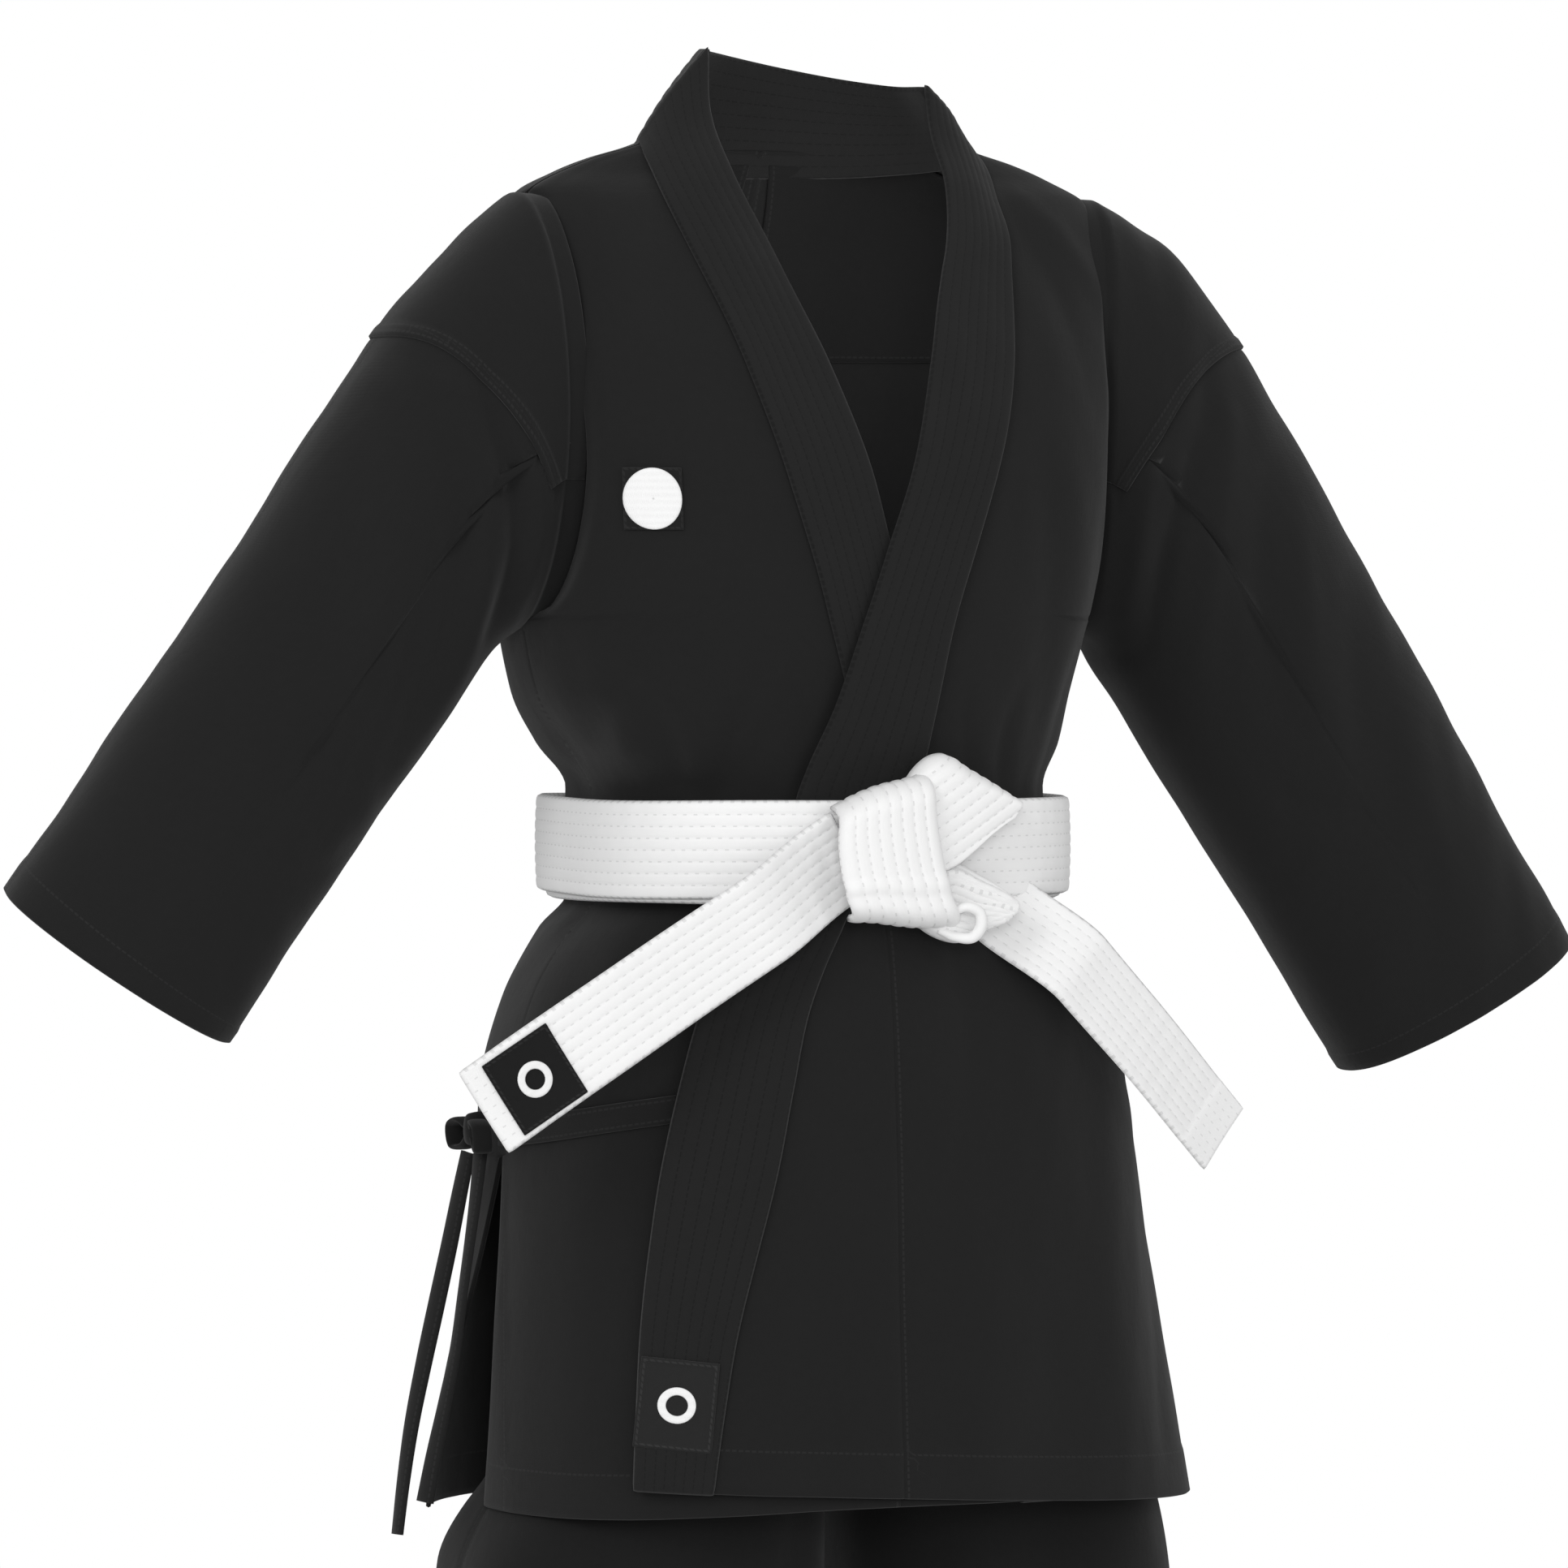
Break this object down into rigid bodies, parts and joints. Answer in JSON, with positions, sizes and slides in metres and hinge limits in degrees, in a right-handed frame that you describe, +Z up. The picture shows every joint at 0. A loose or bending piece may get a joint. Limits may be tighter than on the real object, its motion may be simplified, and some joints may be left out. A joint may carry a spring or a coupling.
{
  "type": "martial arts uniform",
  "caption": "Crossed-front jacket with wide sleeves, quilted tied belt, side tie and elastic-waist trousers, in its worn shape.",
  "frame": {"origin": "on the body's axis, level with the place where the shoulders meet the neck", "axes": "+Z up along the wearer's body, the wearer faces -Y, and +X points to the wearer's left"},
  "size_m": [0.7385, 0.2355, 1.1272],
  "materials": {
    "jacket_cloth": "matt black brushed cotton, fine plain weave",
    "lapel_cloth": "matt black cotton with close rows of stitching",
    "lining_cloth": "matt black cotton lining",
    "belt_cotton": "white cotton, quilted in long rows",
    "black_patch": "black woven label, plain",
    "grey_patch": "dark grey woven label, plain",
    "chest_badge": "white embroidery, plain stripes",
    "trouser_cloth": "matt black cotton, slightly darker than the jacket",
    "waist_elastic": "white woven elastic"
  },
  "bodies": {
    "garment": {"right_front_panel": "jacket_cloth", "left_front_panel": "jacket_cloth", "right_overlap_panel": "jacket_cloth", "left_overlap_panel": "jacket_cloth", "back_right_panel": "jacket_cloth", "back_left_panel": "jacket_cloth", "tie_band": "jacket_cloth", "tie_bow_knot": "jacket_cloth", "tie_strand_rear": "jacket_cloth", "tie_strand_front": "jacket_cloth", "right_lapel": "lapel_cloth", "left_lapel": "lapel_cloth", "neck_collar": "lapel_cloth", "right_shoulder_lining": "lining_cloth", "left_shoulder_lining": "lining_cloth", "right_vent_patch": "lining_cloth", "left_vent_patch": "lining_cloth", "belt_inner_wrap": "belt_cotton", "belt_outer_wrap": "belt_cotton", "knot_wrap": "belt_cotton", "knot_upper_fold": "belt_cotton", "knot_lower_fold": "belt_cotton", "lapel_patch": "grey_patch", "chest_badge": "chest_badge", "waistband": "trouser_cloth", "trouser_right_front": "trouser_cloth", "trouser_right_back": "trouser_cloth", "trouser_left_front": "trouser_cloth", "trouser_left_back": "trouser_cloth", "crotch_gusset": "trouser_cloth", "waist_elastic": "waist_elastic"},
    "right_arm": {"right_shoulder_cap": "jacket_cloth", "right_sleeve": "jacket_cloth", "right_cuff_facing": "lining_cloth"},
    "left_arm": {"left_shoulder_cap": "jacket_cloth", "left_sleeve": "jacket_cloth", "left_cuff_facing": "lining_cloth"},
    "back_skirt": {"back_right_flap": "jacket_cloth", "back_left_flap": "jacket_cloth"},
    "right_trouser_leg": {"right_leg_front": "trouser_cloth", "right_leg_back": "trouser_cloth", "right_leg_hem_facing": "trouser_cloth"},
    "left_trouser_leg": {"left_leg_front": "trouser_cloth", "left_leg_back": "trouser_cloth", "left_leg_hem_facing": "trouser_cloth"},
    "right_tail": {"right_belt_tail": "belt_cotton", "belt_end_patch": "black_patch"},
    "left_tail": {"left_belt_tail": "belt_cotton"}
  },
  "joints": [
    {"name": "right_sleeve_raise", "type": "hinge", "parent": "garment", "child": "right_arm", "pos_m": [-0.1335, 0, -0.02], "axis": [0, 1, 0], "range_deg": [0, 45]},
    {"name": "left_sleeve_raise", "type": "hinge", "parent": "garment", "child": "left_arm", "pos_m": [0.1335, 0, -0.02], "axis": [0, -1, 0], "range_deg": [0, 45]},
    {"name": "back_skirt_lift", "type": "hinge", "parent": "garment", "child": "back_skirt", "pos_m": [0, 0.104, -0.441], "axis": [1, 0, 0], "range_deg": [0, 20]},
    {"name": "right_leg_swing", "type": "hinge", "parent": "garment", "child": "right_trouser_leg", "pos_m": [-0.07, 0, -0.56], "axis": [1, 0, 0], "range_deg": [-9, 10]},
    {"name": "left_leg_swing", "type": "hinge", "parent": "garment", "child": "left_trouser_leg", "pos_m": [0.07, 0, -0.56], "axis": [1, 0, 0], "range_deg": [-9, 10]},
    {"name": "right_tail_swing", "type": "hinge", "parent": "garment", "child": "right_tail", "pos_m": [-0.033, -0.118, -0.32], "axis": [0, 1, 0], "range_deg": [-45, 20]},
    {"name": "left_tail_swing", "type": "hinge", "parent": "garment", "child": "left_tail", "pos_m": [0.061, -0.112, -0.33], "axis": [-0.2588, 0.9659, 0], "range_deg": [-12, 20]}
  ]
}
